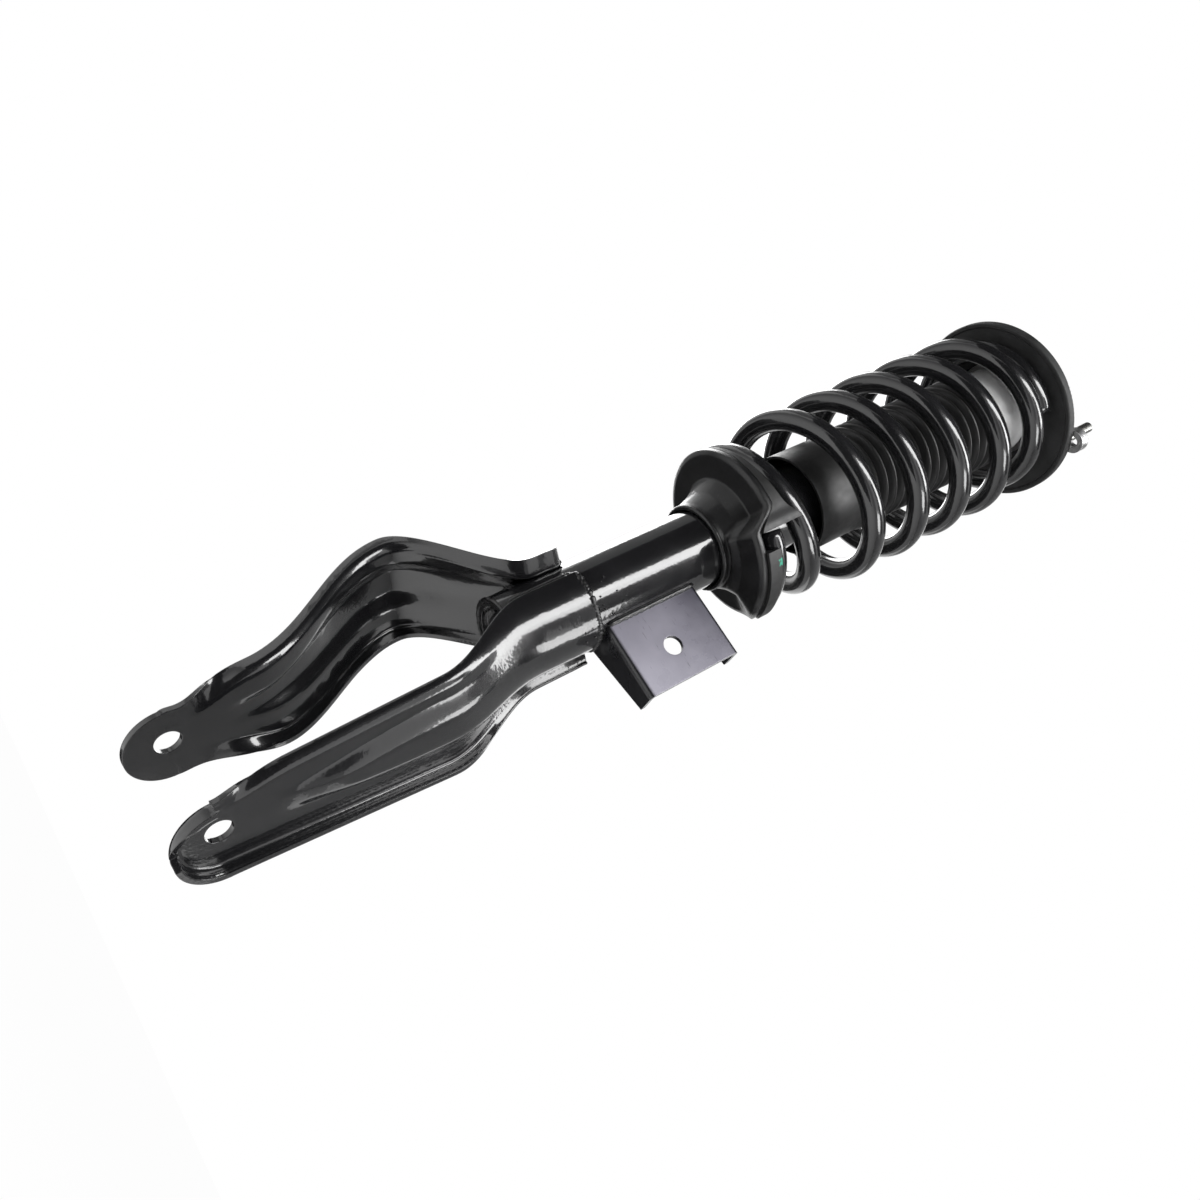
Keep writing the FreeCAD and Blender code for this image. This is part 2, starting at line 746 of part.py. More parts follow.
PLATE_TOP = "plate_low + plate_thickness"
HUB_TOP = "plate_low + hub_height"

def around(circle, angle):
    """Expressions for x and y at an angle in degrees on a circle."""
    number = value_of(angle)
    return ("%s * %.9f" % (circle, math.cos(math.radians(number))),
            "%s * %.9f" % (circle, math.sin(math.radians(number))))


STUDS = ["stud_angle + %d * stud_spread" % number for number in range(3)]


def mount_plate():
    ear = around("ear_circle", "ear_angle")
    solid = [cylinder("mount_disc", "plate_radius", "plate_low", PLATE_TOP),
             cylinder("mount_hub", "hub_radius", "plate_low", HUB_TOP),
             cylinder("mount_ear", "ear_radius", "plate_low", PLATE_TOP, *ear)]
    holes = [cylinder("mount_bore", "bush_radius", "plate_low - 1", HUB_TOP + " + 1"),
             cylinder("ear_hole", "ear_hole / 2", "plate_low - 1", PLATE_TOP + " + 1", *ear)]
    for number, angle in enumerate(STUDS):
        place = around("stud_circle", angle)
        holes.append(cylinder("stud_hole_%d" % number, "shank_radius", "plate_low - 1",
                              PLATE_TOP + " + 1", *place))
    return cut("mount_plate", joined("mount_blank", solid), joined("mount_holes", holes))


def mount_studs():
    studs = []
    for number, angle in enumerate(STUDS):
        place = around("stud_circle", angle)
        thread = cylinder("stud_thread_%d" % number, "stud_radius", PLATE_TOP,
                          PLATE_TOP + " + stud_height", *place)
        shank = cylinder("stud_shank_%d" % number, "shank_radius", "plate_low", PLATE_TOP, *place)
        studs.append(joined("stud_%d" % number, [thread, shank]))
    group = doc.addObject("Part::Compound", "mount_studs")
    group.Links = studs
    return group


keep("mount_plate", mount_plate())
keep("mount_studs", mount_studs())
keep("mount_sleeve", ring("mount_sleeve", "rod_tip_radius", "sleeve_radius", "cup_top", HUB_TOP))
keep("mount_bush", ring("mount_bush", "sleeve_radius", "bush_radius", "plate_low + 1", HUB_TOP + " - 2"))
WASHER_TOP = HUB_TOP + " + washer_thickness"
keep("rod_washer", ring("rod_washer", "rod_tip_radius", "washer_radius", HUB_TOP, WASHER_TOP))
hexagon_nut("rod_nut", WASHER_TOP, WASHER_TOP + " + nut_height", "nut_flats", "rod_tip_radius")

# ------------------------------------------------------------------- side bracket

def bracket_solid():
    """A channel of pressed steel: x runs out from the tube, y away from the web's outer face."""
    sheet_t = size("bracket_sheet")
    tube = size("tube_radius")
    lean = math.radians(size("bracket_angle"))
    face = -tube * math.sin(lean)
    foot = tube * math.cos(lean)
    tip = foot + size("bracket_reach")
    root_depth, tip_depth = face + size("bracket_depth"), face + size("bracket_tip_depth")
    low, length = size("bracket_low"), size("bracket_length")
    root = foot - 6
    blank = Part.Face(polygon([Vector(root, face, low), Vector(tip, face, low),
                               Vector(tip, tip_depth, low), Vector(root, root_depth, low)]))
    blank = blank.extrude(Vector(0, 0, length))
    corners = [e for e in blank.Edges if abs(e.CenterOfMass.y - face) < 0.01
               and abs(e.CenterOfMass.x - (root + tip) / 2) < 0.01]
    blank = blank.makeFillet(sheet_t + 1.5, corners)
    hollow = Part.makeBox(tip - root + 20, size("bracket_depth") + 10, length - 2 * sheet_t,
                          Vector(root - 10, face + sheet_t, low + sheet_t))
    inner = [e for e in hollow.Edges if abs(e.CenterOfMass.y - face - sheet_t) < 0.01
             and abs(e.CenterOfMass.x - (root + tip) / 2) < 0.01]
    hollow = hollow.makeFillet(1.5, inner)
    channel = blank.cut(hollow)
    channel = channel.cut(Part.makeCylinder(tube + size("shell_gap"), length + 2, Vector(0, 0, low - 1)))
    centre = Vector(foot + size("bracket_hole_reach"), face - 1, low + size("bracket_hole_low"))
    hole = Part.makeCylinder(size("bracket_hole") / 2, sheet_t + 2, centre, Vector(0, 1, 0))
    return channel.cut(hole)


bracket = keep("side_bracket", shaped("side_bracket", bracket_solid()))
bracket.Placement.Rotation = FreeCAD.Rotation(Vector(0, 0, 1), 180 + size("bracket_angle"))

# ------------------------------------------------------------------- check and write

doc.recompute()
for item in doc.Objects:
    if "Invalid" in item.State or "Error" in item.State:
        raise RuntimeError("%s did not build: %s" % (item.Name, item.State))
for label, item in nodes.items():
    if item.Shape.isNull() or not item.Shape.isValid() or not item.Shape.Solids:
        raise RuntimeError("%s has no valid solid" % label)

os.makedirs("parts", exist_ok=True)
for label, item in nodes.items():
    item.Shape.exportStep("parts/%s.step" % label)
    print("%-20s %2d solid %10.0f mm3" % (label, len(item.Shape.Solids), item.Shape.Volume))
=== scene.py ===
"""Suspension strut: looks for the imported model, in metres, in the same frame as the CAD."""
import math
import random

import bmesh
import bpy
from mathutils import Matrix, Vector


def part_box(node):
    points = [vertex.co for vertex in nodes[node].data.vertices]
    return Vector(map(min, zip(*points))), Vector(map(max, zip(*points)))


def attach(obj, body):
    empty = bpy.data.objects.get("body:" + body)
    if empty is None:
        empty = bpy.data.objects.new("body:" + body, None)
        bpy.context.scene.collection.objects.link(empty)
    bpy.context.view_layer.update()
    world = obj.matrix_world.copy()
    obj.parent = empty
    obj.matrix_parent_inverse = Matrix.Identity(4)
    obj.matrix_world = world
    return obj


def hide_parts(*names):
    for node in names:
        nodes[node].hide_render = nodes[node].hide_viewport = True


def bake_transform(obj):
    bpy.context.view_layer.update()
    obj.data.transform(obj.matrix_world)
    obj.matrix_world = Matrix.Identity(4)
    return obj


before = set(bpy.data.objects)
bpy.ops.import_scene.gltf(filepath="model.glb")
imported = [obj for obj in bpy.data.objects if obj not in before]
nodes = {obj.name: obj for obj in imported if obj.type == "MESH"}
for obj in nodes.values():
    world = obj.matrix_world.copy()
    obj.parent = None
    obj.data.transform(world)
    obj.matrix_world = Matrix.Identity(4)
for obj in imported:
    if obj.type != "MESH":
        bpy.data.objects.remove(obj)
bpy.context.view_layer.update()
random.seed(7)
scene = bpy.context.scene
TAU = 2 * math.pi
DAB = (-0.0585, 0.0213, 0.3555)        # centre of the inspection paint
# WEB also picks out the bracket's face, which is given painted light
WEB = (-0.390731, 0.920505, 0.0)      # the side bracket's face looks this way


# ------------------------------------------------------------------ camera
def look():
    """The photograph's viewpoint: close, a little below the lower seat, rolled with the strut."""
    right = Vector((-0.597845, 0.059145, 0.799427))
    down = Vector((-0.574894, -0.726630, -0.376172))
    ahead = Vector((0.558639, -0.684478, 0.468415))
    camera = bpy.data.objects.new("camera", bpy.data.cameras.new("camera"))
    scene.collection.objects.link(camera)
    turn = Matrix((right, -down, -ahead)).transposed()
    camera.matrix_world = Matrix.Translation((-0.375068, 0.453048, -0.055600)) @ turn.to_4x4()
    camera.data.sensor_width = 36
    camera.data.lens = 36 * 1079.02 / 1200
    camera.data.clip_start = 0.02
    camera.data.clip_end = 60
    scene.camera = camera


# --------------------------------------------------------------- materials
class Nodes:
    """A short hand for building node materials."""

    def __init__(self, name):
        self.material = bpy.data.materials.new(name)
        self.material.use_nodes = True
        self.tree = self.material.node_tree
        self.shader = self.tree.nodes["Principled BSDF"]
        self.place = self.add("ShaderNodeTexCoord").outputs["Object"]

    def add(self, kind, **settings):
        node = self.tree.nodes.new(kind)
        for key, value in settings.items():
            setattr(node, key, value)
        return node

    def link(self, source, target):
        self.tree.links.new(source, target)

    def noise(self, scale, detail=3.0, roughness=0.5, stretch=None):
        node = self.add("ShaderNodeTexNoise")
        node.inputs["Scale"].default_value = scale
        node.inputs["Detail"].default_value = detail
        node.inputs["Roughness"].default_value = roughness
        if stretch:
            mapping = self.add("ShaderNodeMapping")
            mapping.inputs["Scale"].default_value = stretch
            self.link(self.place, mapping.inputs["Vector"])
            self.link(mapping.outputs[0], node.inputs["Vector"])
        else:
            self.link(self.place, node.inputs["Vector"])
        return node.outputs["Fac"]

    def ramp(self, value, low, high, first, last):
        """first where value is low or less, last where it is high or more."""
        node = self.add("ShaderNodeMapRange")
        node.inputs["From Min"].default_value = low
        node.inputs["From Max"].default_value = high
        node.inputs["To Min"].default_value = first
        node.inputs["To Max"].default_value = last
        self.link(value, node.inputs["Value"])
        return node.outputs[0]

    def math(self, operation, first, second=0.0):
        node = self.add("ShaderNodeMath", operation=operation)
        for socket, value in zip(node.inputs, (first, second)):
            if isinstance(value, (int, float)):
                socket.default_value = value
            else:
                self.link(value, socket)
        return node.outputs[0]

    def blend(self, share, first, last):
        node = self.add("ShaderNodeMix", data_type="RGBA")
        self.link(share, node.inputs[0])
        for socket, value in ((node.inputs[6], first), (node.inputs[7], last)):
            if isinstance(value, tuple):
                socket.default_value = (*value, 1.0)
            else:
                self.link(value, socket)
        return node.outputs[2]

    def bump(self, heights, soften=0.0):
        """heights is [(height, strength, metres)], stacked; soften rounds hard edges in the shading."""
        normal = None
        if soften:
            edge = self.add("ShaderNodeBevel", samples=6)
            edge.inputs["Radius"].default_value = soften
            normal = edge.outputs[0]
        for height, strength, distance in heights:
            node = self.add("ShaderNodeBump")
            node.inputs["Strength"].default_value = strength
            node.inputs["Distance"].default_value = distance
            self.link(height, node.inputs["Height"])
            if normal:
                self.link(normal, node.inputs["Normal"])
            normal = node.outputs[0]
        self.link(normal, self.shader.inputs["Normal"])
        return normal

    def set(self, **values):
        for key, value in values.items():
            socket = self.shader.inputs[key.replace("_", " ")]
            if isinstance(value, tuple) and len(value) == 3:
                socket.default_value = (*value, 1.0)
            elif isinstance(value, (int, float)):
                socket.default_value = value
            else:
                self.link(value, socket)


def black_paint(name, soften=0.0008, wave=0.25, rough=(0.16, 0.24), tone=0.006, coat=1.0, marked=False):
    """Gloss black paint on pressed steel: faint orange peel, waviness of the sheet, fine dust."""
    m = Nodes(name)
    cloud = m.noise(22, 4)
    dust = m.noise(900, 2)
    speck = m.ramp(dust, 0.62, 0.75, 0.0, 1.0)
    deep = (tone, tone, tone * 1.12)
    faded = (tone * 1.6, tone * 1.6, tone * 1.75)
    base = m.blend(m.ramp(cloud, 0.35, 0.7, 0.0, 1.0), deep, faded)
    base = m.blend(m.math("MULTIPLY", speck, 0.12), base, (0.10, 0.10, 0.11))
    if marked:
        base = dab(m, base)
    m.set(Base_Color=base, Roughness=m.ramp(m.noise(60, 5), 0.3, 0.7, *rough), IOR=1.5,
          Coat_Weight=coat, Coat_Roughness=0.05, Coat_IOR=1.5)
    sheet_wave = (m.noise(14, 1), wave, 0.004)
    orange_peel = (m.noise(420, 1), 0.10, 0.0004)
    normal = m.bump([sheet_wave, orange_peel, (dust, 0.04, 0.0002)], soften)
    m.link(normal, m.shader.inputs["Coat Normal"])
    return m.material


def dab(m, base):
    """A dab of green inspection paint on the seat's edge, near the end of the wire."""
    gap = m.add("ShaderNodeVectorMath", operation="DISTANCE")
    m.link(m.place, gap.inputs[0])
    gap.inputs[1].default_value = DAB
    ragged = m.math("ADD", gap.outputs["Value"], m.ramp(m.noise(500, 2), 0.3, 0.7, -0.0012, 0.0012))
    return m.blend(m.ramp(ragged, 0.0028, 0.0034, 1.0, 0.0), base, (0.02, 0.30, 0.19))


def bracket_paint_and_painted_light(name):
    """Black paint with painted light: a pale violet grey painted sheen on the web's face, paler towards the
    bottom, standing in for the light it catches; nearly black on the flanges, worn and scratched.
    """
    m = Nodes(name)
    # painted light: the web's face, picked out by its normal, gets a pale painted sheen; the flanges keep
    # the black paint
    facing = m.add("ShaderNodeVectorMath", operation="DOT_PRODUCT")
    m.link(m.add("ShaderNodeTexCoord").outputs["Normal"], facing.inputs[0])
    facing.inputs[1].default_value = WEB
    face = m.ramp(facing.outputs["Value"], 0.90, 0.995, 0.0, 1.0)
    split = m.add("ShaderNodeSeparateXYZ")
    m.link(m.place, split.inputs[0])
    # the painted sheen is paler towards the bottom of the web, with a random spread
    slope = m.math("ADD", split.outputs["Z"], m.math("MULTIPLY", split.outputs["X"], 0.9))
    height = m.ramp(slope, 0.188, 0.292, 0.0, 1.0)
    height = m.math("ADD", height, m.ramp(m.noise(30, 3), 0.3, 0.7, -0.14, 0.14))
    pale = m.blend(height, (0.30, 0.29, 0.34), (0.05, 0.048, 0.064))
    # the darker scratches are real wear, drawn over the painted sheen
    scratch = m.noise(160, 3, 0.7, stretch=(0.5, 0.5, 7.0))
    pale = m.blend(m.ramp(scratch, 0.66, 0.70, 0.0, 0.55), pale, (0.02, 0.02, 0.03))
    m.set(Base_Color=m.blend(face, (0.010, 0.010, 0.012), pale),
          Roughness=m.ramp(m.noise(70, 4), 0.3, 0.7, 0.24, 0.38), IOR=1.5,
          Coat_Weight=0.6, Coat_Roughness=0.12)
    m.bump([(m.noise(40, 2), 0.12, 0.002), (m.noise(600, 2), 0.08, 0.0003), (scratch, 0.05, 0.0002)], 0.0009)
    return m.material


def rubber(name, tone, soften=0.0005, rough=(0.5, 0.68), marked=False):
    """Moulded rubber: fine grain, slight bloom."""
    m = Nodes(name)
    bloom = m.noise(45, 4, 0.6)
    faded = (tone * 2.4, tone * 2.4, tone * 2.5)
    base = m.blend(m.ramp(bloom, 0.4, 0.75, 0.0, 1.0), (tone, tone, tone), faded)
    if marked:
        base = dab(m, base)
    m.set(Base_Color=base, Roughness=m.ramp(m.noise(200, 3), 0.3, 0.7, *rough), IOR=1.5)
    m.bump([(m.noise(1400, 2), 0.25, 0.0002), (m.noise(90, 2), 0.15, 0.0008)], soften)
    return m.material


def metal(name, tone, rough, cast=0.0, metallic=1.0, tint=1.0):
    """Bare or plated metal; cast is the strength of a cast skin, tint the share of blue."""
    m = Nodes(name)
    cloud = m.noise(55, 5, 0.6)
    low = tuple(tone * k * 0.86 for k in (1.0, 1.0, tint))
    high = tuple(min(1.0, tone * k * 1.06) for k in (1.0, 1.0, tint))
    m.set(Base_Color=m.blend(m.ramp(cloud, 0.3, 0.7, 0.0, 1.0), low, high), Metallic=metallic,
          Roughness=m.ramp(m.noise(180, 4), 0.3, 0.7, rough * 0.82, rough * 1.2))
    m.bump([(m.noise(500, 2), 0.12, 0.0002), (m.noise(700, 3), cast, 0.0004)], 0.0005)
    return m.material


def paint_node(node, material):
    target = nodes[node]
    if not target.material_slots:
        target.data.materials.append(material)
    for slot in target.material_slots:
        slot.material = material


# ------------------------------------------------------------ mesh helpers
def piece(name, mesh_data, body, material, replaces=None):
    """A smooth object from (points, faces), riding on body if one is given."""
    points, faces = mesh_data
    mesh = bpy.data.meshes.new(name)
    mesh.from_pydata([tuple(p) for p in points], [], faces)
    mesh.validate()
    mesh.materials.append(material)
    for polygon in mesh.polygons:
        polygon.use_smooth = True
    item = bpy.data.objects.new(name, mesh)
    scene.collection.objects.link(item)
    if replaces:
        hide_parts(*replaces)
    if body:
        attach(item, body)
    return item


def tube(centres, radii, around, frames):
    """A closed tube of rings; frames gives two unit vectors across the tube at each centre."""
    points, faces = [], []
    for centre, radius, (first, second) in zip(centres, radii, frames):
        for k in range(around):
            a = TAU * k / around
            points.append(centre + radius * (math.cos(a) * first + math.sin(a) * second))
    for i in range(len(centres) - 1):
        for k in range(around):
            n = (k + 1) % around
            faces.append((i * around + k, i * around + n, (i + 1) * around + n, (i + 1) * around + k))
    faces.append(tuple(reversed(range(around))))
    last = (len(centres) - 1) * around
    faces.append(tuple(last + k for k in range(around)))
    return points, faces


def lathe(profile, around):
    """A closed profile [(radius, z)], turned about the strut's axis."""
    points, faces = [], []
    count = len(profile)
    for k in range(around):
        a = TAU * k / around
        points += [Vector((r * math.cos(a), r * math.sin(a), z)) for r, z in profile]
    for k in range(around):
        n = (k + 1) % around
        for i in range(count):
            j = (i + 1) % count
            faces.append((k * count + i, n * count + i, n * count + j, k * count + j))
    return points, faces


def blend_weights(item):
    """Bakes the item's placement into its mesh; no weights are set."""
    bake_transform(item)


def ease(value, start, end):
    """0 before start, 1 after end, and a half cosine between."""
    t = min(1.0, max(0.0, (value - start) / (end - start)))
    return 0.5 - 0.5 * math.cos(math.pi * t)


# -------------------------------------------------------------- coil spring
WIRE = 0.00775                           # radius of the wire
TAIL_RADIUS, COIL_RADIUS = 0.0505, 0.05825
PITCH, TOP_PITCH = 0.0444, 0.014
TAIL, WORK, TOP = 0.77, 5.35, 0.9        # turns: lowest coil, working coils, closing coil
PHASE = math.radians(58.4)
FIRST_LEVEL = 0.3831                     # level where the working coils would start
TAIL_LOW, TAIL_FLAT = 0.358, 0.3765      # wire's end in the seat's pocket, wire on the seat
LIFT_START, LIFT_END = 0.1, 0.6          # turns over which the wire leaves the seat


def hermite(t, first, last, slope_in, slope_out):
    """Cubic from first to last with the given end slopes."""
    return ((2 * t ** 3 - 3 * t ** 2 + 1) * first + (t ** 3 - 2 * t ** 2 + t) * slope_in
            + (3 * t ** 2 - 2 * t ** 3) * last + (t ** 3 - t ** 2) * slope_out)


def coil_centre(turn):
    """The wire's centre line: a dip into the seat's pocket, a flat coil, working coils, a closing coil."""
    if turn < LIFT_START:
        z = TAIL_LOW + (TAIL_FLAT - TAIL_LOW) * ease(turn + TAIL, 0.14, 0.32)
    elif turn < LIFT_END:
        share = (turn - LIFT_START) / (LIFT_END - LIFT_START)
        z = hermite(share, TAIL_FLAT, FIRST_LEVEL + PITCH * LIFT_END, PITCH / 6, PITCH / 2)
    elif turn < WORK:
        z = FIRST_LEVEL + PITCH * turn
    else:
        z = FIRST_LEVEL + PITCH * WORK + TOP_PITCH * (turn - WORK)
    swell = ease(turn, 0.45, 1.0) - ease(turn, WORK - 0.3, WORK + 0.15)
    radius = TAIL_RADIUS + (COIL_RADIUS - TAIL_RADIUS) * swell
    a = PHASE + TAU * turn
    return Vector((radius * math.cos(a), radius * math.sin(a), z))


def spring():
    """The wire, with its ends a little rounded; each ring's share of the rod's motion is worked out but not
    used.
    """
    rings = 640
    around = 32
    centres, frames, weights, radii = [], [], [], []
    for i in range(rings + 1):
        turn = -TAIL + (TAIL + WORK + TOP) * i / rings
        centre = coil_centre(turn)
        along = (coil_centre(turn + 0.002) - coil_centre(turn - 0.002)).normalized()
        out = Vector((centre.x, centre.y, 0)).normalized()
        out = (out - along * out.dot(along)).normalized()
        centres.append(centre)
        frames.append((out, along.cross(out)))
        end = min(i, rings - i)
        rounding = 0.0006 * max(0.0, 1 - end / 2)
        radii.append(WIRE - rounding)
        weights += [min(1.0, max(0.0, turn / WORK))] * around
    item = piece("spring_wire", tube(centres, radii, around, frames), None, SPRING,
                 replaces=["coil_spring"])
    blend_weights(item)


# ---------------------------------------------------------------- dust boot
def boot():
    """Bellows: broad rounded crests, tighter valleys and a thin wall."""
    low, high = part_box("dust_boot")
    z0, z1 = low[2], high[2]
    pleats = 16
    depth, wall = 0.0062, 0.0011
    valley = high[0] - depth - 0.0002
    steps = 14
    around = 144
    outside, inside = [], []
    for i in range(pleats * steps + 1):
        t = i / steps
        wave = (0.5 - 0.5 * math.cos(TAU * t)) ** 0.75
        r = valley + depth * wave
        z = z0 + (z1 - z0) * i / (pleats * steps)
        outside.append((r, z))
        inside.append((r - wall, z))
    profile = outside + inside[::-1]
    item = piece("bellows", lathe(profile, around), None, BOOT, replaces=["dust_boot"])
    blend_weights(item)


# -------------------------------------------------------------- weld beads
def around_axis(radius, first, last, z, steps):
    """Points on an arc about the strut's axis, in degrees."""
    points = []
    for i in range(steps + 1):
        a = math.radians(first + (last - first) * i / steps)
        points.append(Vector((radius * math.cos(a), radius * math.sin(a), z)))
    return points


def along_axis(radius, degrees, low, high, steps):
    """Points on a line parallel to the strut's axis."""
    a = math.radians(degrees)
    return [Vector((radius * math.cos(a), radius * math.sin(a), low + (high - low) * i / steps))
            for i in range(steps + 1)]


def bead(name, path, width, lump, ripple):
    """A weld bead of radius width along a path, pinched at its ends unless it closes on itself.

    lump is how uneven it is, ripple how many steps of the path one ripple takes."""
    around = 14
    centres, frames, radii = [], [], []
    last = len(path) - 1
    closed = (path[0] - path[-1]).length < 0.001
    phase = random.random() * TAU
    for i, point in enumerate(path):
        along = (path[min(last, i + 1)] - path[max(0, i - 1)]).normalized()
        out = Vector((point.x, point.y, 0)).normalized()
        out = (out - along * out.dot(along)).normalized()
        side = along.cross(out)
        wobble = random.uniform(-1, 1) * (0 if closed and i in (0, last) else 1)
        centres.append(point + side * wobble * lump * 0.4)
        frames.append((out, side))
        scallop = abs(math.sin(phase + math.pi * i / ripple))
        radius = width * (0.88 + 0.16 * scallop) + lump * random.uniform(-0.5, 0.5)
        pinch = 1.0 if closed else min(1.0, 0.35 + min(i, last - i) / 4)
        radii.append(max(0.0004, radius * pinch))
    piece(name, tube(centres, radii, around, frames), "damper", WELD)


def welds():
    """Beads along the edges of the fork halves, bracket, seat and cap, then drops of spatter."""
    half_radius, half_top = 0.0281, 0.2366
    bead("weld_near_half", around_axis(half_radius, 92, 243, half_top, 110), 0.0023, 0.0010, 2.6)
    bead("weld_far_half", around_axis(half_radius, -88, 62, half_top, 110), 0.0021, 0.0005, 2.6)
    bead("weld_seam_front", along_axis(0.0278, 91.5, 0.190, 0.2362, 40), 0.0019, 0.0007, 3)
    bead("weld_seam_back", along_axis(0.0278, -90, 0.190, 0.2362, 40), 0.0019, 0.0007, 3)
    bead("weld_bracket", along_axis(0.0268, 177.5, 0.2445, 0.3115, 56), 0.0018, 0.0005, 2.4)
    bead("weld_seat", around_axis(0.0281, 0, 360, 0.3362, 220), 0.0017, 0.00025, 2.4)
    bead("weld_cap", around_axis(0.0249, 0, 360, 0.1858, 160), 0.0014, 0.0004, 2.6)
    on_tube, on_half = 0.0263, 0.0300
    drops = 26
    spots = [(random.uniform(110, 200), random.uniform(0.225, 0.262)) for _ in range(drops)]
    points, faces = [], []
    for degrees, z in spots:
        radius = on_tube if z > half_top + 0.0009 else on_half
        grain = random.uniform(0.0003, 0.0007)
        a = math.radians(degrees)
        centre = Vector((radius * math.cos(a), radius * math.sin(a), z))
        base = len(points)
        ball = bmesh.new()
        bmesh.ops.create_icosphere(ball, subdivisions=2, radius=grain)
        points += [centre + v.co for v in ball.verts]
        faces += [tuple(base + v.index for v in f.verts) for f in ball.faces]
        ball.free()
    piece("weld_spatter", (points, faces), "damper", WELD)


# -------------------------------------------------------------------- stage
def white_world():
    """White wherever it is seen or mirrored, dimmer as a light on the strut."""
    world = bpy.data.worlds.new("studio")
    scene.world = world
    world.use_nodes = True
    tree = world.node_tree
    back = tree.nodes["Background"]
    path = tree.nodes.new("ShaderNodeLightPath")
    seen = path.outputs["Is Camera Ray"]
    for name in ("Is Glossy Ray", "Is Transmission Ray"):
        most = tree.nodes.new("ShaderNodeMath")
        most.operation = "MAXIMUM"
        tree.links.new(seen, most.inputs[0])
        tree.links.new(path.outputs[name], most.inputs[1])
        seen = most.outputs[0]
    level = tree.nodes.new("ShaderNodeMapRange")
    level.inputs["To Min"].default_value = 0.42
    level.inputs["To Max"].default_value = 1.0
    tree.links.new(seen, level.inputs["Value"])
    tree.links.new(level.outputs[0], back.inputs["Strength"])
    back.inputs["Color"].default_value = (1, 1, 1, 1)


MIDDLE = Vector((0, 0, 0.33))            # what lamps and cards face
FORK = Vector((-0.03, 0, 0.09))


def face(item, azimuth, elevation, distance, target):
    """Place an item at a distance from the target, in a direction in degrees, facing it."""
    a, e = math.radians(azimuth), math.radians(elevation)
    spot = Vector((math.cos(a) * math.cos(e), math.sin(a) * math.cos(e), math.sin(e)))
    item.location = target + spot * distance
    item.rotation_euler = (-spot).to_track_quat("-Z", "Z").to_euler()


def lamp(name, azimuth, elevation, distance, width, height, radiance, target=MIDDLE):
    light = bpy.data.lights.new(name, "AREA")
    light.shape = "RECTANGLE"
    light.size, light.size_y = width, height
    light.energy = radiance * math.pi * width * height
    item = bpy.data.objects.new(name, light)
    scene.collection.objects.link(item)
    face(item, azimuth, elevation, distance, target)


def board(name, width, height, material, level=0.0):
    """A flat rectangle of the stage."""
    mesh = bpy.data.meshes.new(name)
    w, h = width / 2, height / 2
    corners = [(-w, -h, level), (w, -h, level), (w, h, level), (-w, h, level)]
    mesh.from_pydata(corners, [], [(0, 1, 2, 3)])
    mesh.materials.append(material)
    item = bpy.data.objects.new(name, mesh)
    scene.collection.objects.link(item)
    return item


def card_colour(name, tone):
    material = bpy.data.materials.new(name)
    material.use_nodes = True
    shader = material.node_tree.nodes["Principled BSDF"]
    shader.inputs["Base Color"].default_value = (tone, tone, tone, 1)
    shader.inputs["Roughness"].default_value = 0.9
    return material


def card(name, azimuth, elevation, distance, width, height, material):
    """A card that only shows in the gloss of the strut."""
    item = board(name, width, height, material)
    face(item, azimuth, elevation, distance, MIDDLE)
    item.visible_camera = False
    item.visible_shadow = False
    item.visible_diffuse = False


def floor_paint():
    """Pale floor, nearly white where the camera sees it."""
    material = bpy.data.materials.new("floor")
    material.use_nodes = True
    tree = material.node_tree
    shader = tree.nodes["Principled BSDF"]
    shader.inputs["Base Color"].default_value = (0.86, 0.86, 0.86, 1)
    shader.inputs["Roughness"].default_value = 0.85
    shader.inputs["Specular IOR Level"].default_value = 0.1
    glow = tree.nodes.new("ShaderNodeEmission")
    glow.inputs["Strength"].default_value = 1.0
    path = tree.nodes.new("ShaderNodeLightPath")
    share = tree.nodes.new("ShaderNodeMath")
    share.operation = "MULTIPLY"
    share.inputs[1].default_value = 0.97
    both = tree.nodes.new("ShaderNodeMixShader")
    tree.links.new(path.outputs["Is Camera Ray"], share.inputs[0])
    tree.links.new(share.outputs[0], both.inputs[0])
    tree.links.new(shader.outputs[0], both.inputs[1])
    tree.links.new(glow.outputs[0], both.inputs[2])
    tree.links.new(both.outputs[0], tree.nodes["Material Output"].inputs["Surface"])
    return material


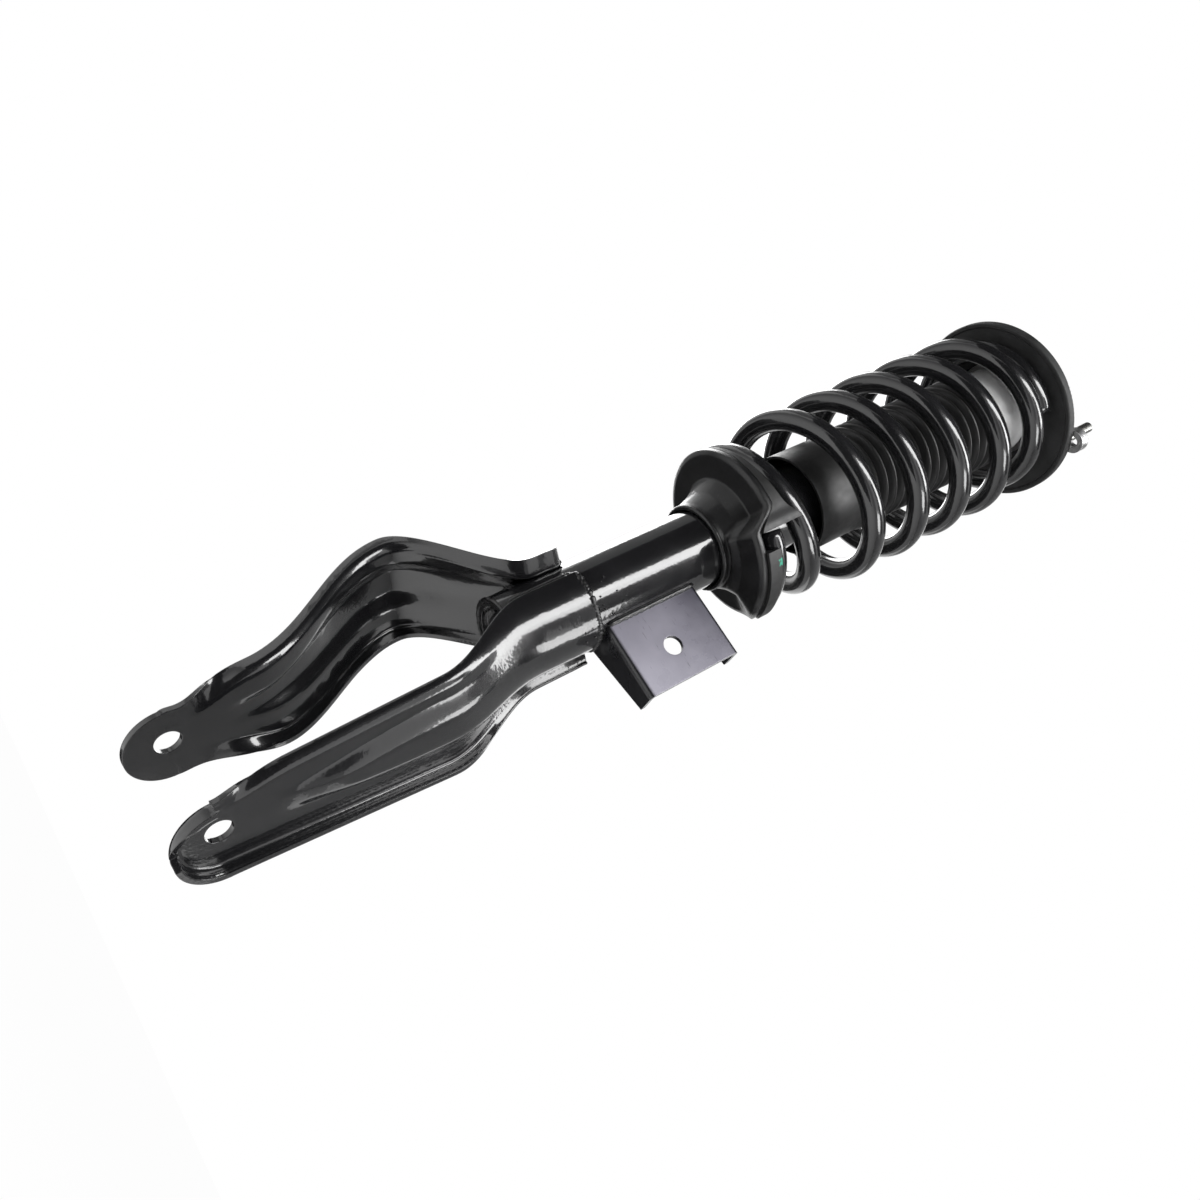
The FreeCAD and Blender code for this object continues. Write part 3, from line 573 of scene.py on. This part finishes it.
def studio():
    """Three soft lamps, cards beside, above and below the strut, a white world and a pale floor."""
    white_world()
    lamp("key", 146, 36, 1.7, 0.72, 2.0, 9.0)
    lamp("side", -14, 32, 1.9, 0.75, 1.6, 5.0)
    lamp("low", -169, 28, 0.9, 0.30, 0.30, 7.0, FORK)
    black = card_colour("card_black", 0.01)
    grey = card_colour("card_grey", 0.32)
    card("card_front", 88, 30, 1.55, 1.75, 2.4, black)
    card("card_side", 174, 30, 1.55, 0.45, 2.2, black)
    card("card_back", -130, 28, 1.7, 2.6, 1.9, grey)
    card("card_right", 38, 32, 2.1, 1.1, 2.0, grey)
    card("card_top", 84, 82, 1.3, 1.9, 1.9, black)
    card("card_under", -52, -36, 0.72, 1.3, 0.8, black)
    card("card_low", 128, -32, 0.62, 1.1, 0.6, black)
    floor_size, floor_level = 30, -0.35
    board("floor", floor_size, floor_size, floor_paint(), floor_level)
    scene.view_settings.view_transform = "Standard"


look()
SPRING = black_paint("spring_coat", soften=0, wave=0.14, rough=(0.16, 0.26))
SHEET = black_paint("sheet_paint")
SEAT = black_paint("seat_paint", soften=0.0022, wave=0.3, rough=(0.34, 0.46), tone=0.004,
                   coat=0.2, marked=True)
TUBE = black_paint("tube_paint", wave=0.05, rough=(0.12, 0.2))
WELD = black_paint("weld_paint", soften=0, wave=0.6, rough=(0.3, 0.44), tone=0.004, coat=0.35)
BRACKET = bracket_paint_and_painted_light("bracket_paint_and_painted_light")
BOOT = rubber("boot_rubber", tone=0.010, rough=(0.34, 0.48), soften=0)
SKIRT = rubber("skirt_plastic", tone=0.006, rough=(0.40, 0.52))
PAD = rubber("pad_rubber", tone=0.012)
EDGE = rubber("edge_rubber", tone=0.010, rough=(0.4, 0.55), marked=True)
CUP = metal("cup_metal", 0.82, 0.42, metallic=0.15)
PLATE = metal("mount_alloy", 0.72, 0.36, cast=0.3)
PLATED = metal("plated_steel", 0.72, 0.28, tint=0.96)
CHROME = metal("rod_chrome", 0.8, 0.08)
STEEL = metal("plain_steel", 0.55, 0.32)
FOAM = rubber("stop_foam", tone=0.3)
looks = {"fork_straight_half": SHEET, "fork_bowed_half": SHEET, "damper_tube": TUBE, "tube_cap": TUBE,
         "side_bracket": BRACKET, "lower_spring_seat": SEAT, "lower_seat_pad": EDGE, "boot_skirt": SKIRT,
         "bump_cup": CUP, "upper_seat_pad": PAD, "mount_plate": PLATE, "mount_studs": PLATED,
         "mount_bush": PAD, "mount_sleeve": STEEL, "rod_washer": PLATED, "rod_nut": PLATED,
         "piston_rod": CHROME, "bump_stop": FOAM}
for name in nodes:
    if name not in ("coil_spring", "dust_boot"):      # replaced below by finer pieces
        paint_node(name, looks.get(name, STEEL))
spring()
boot()
welds()
studio()
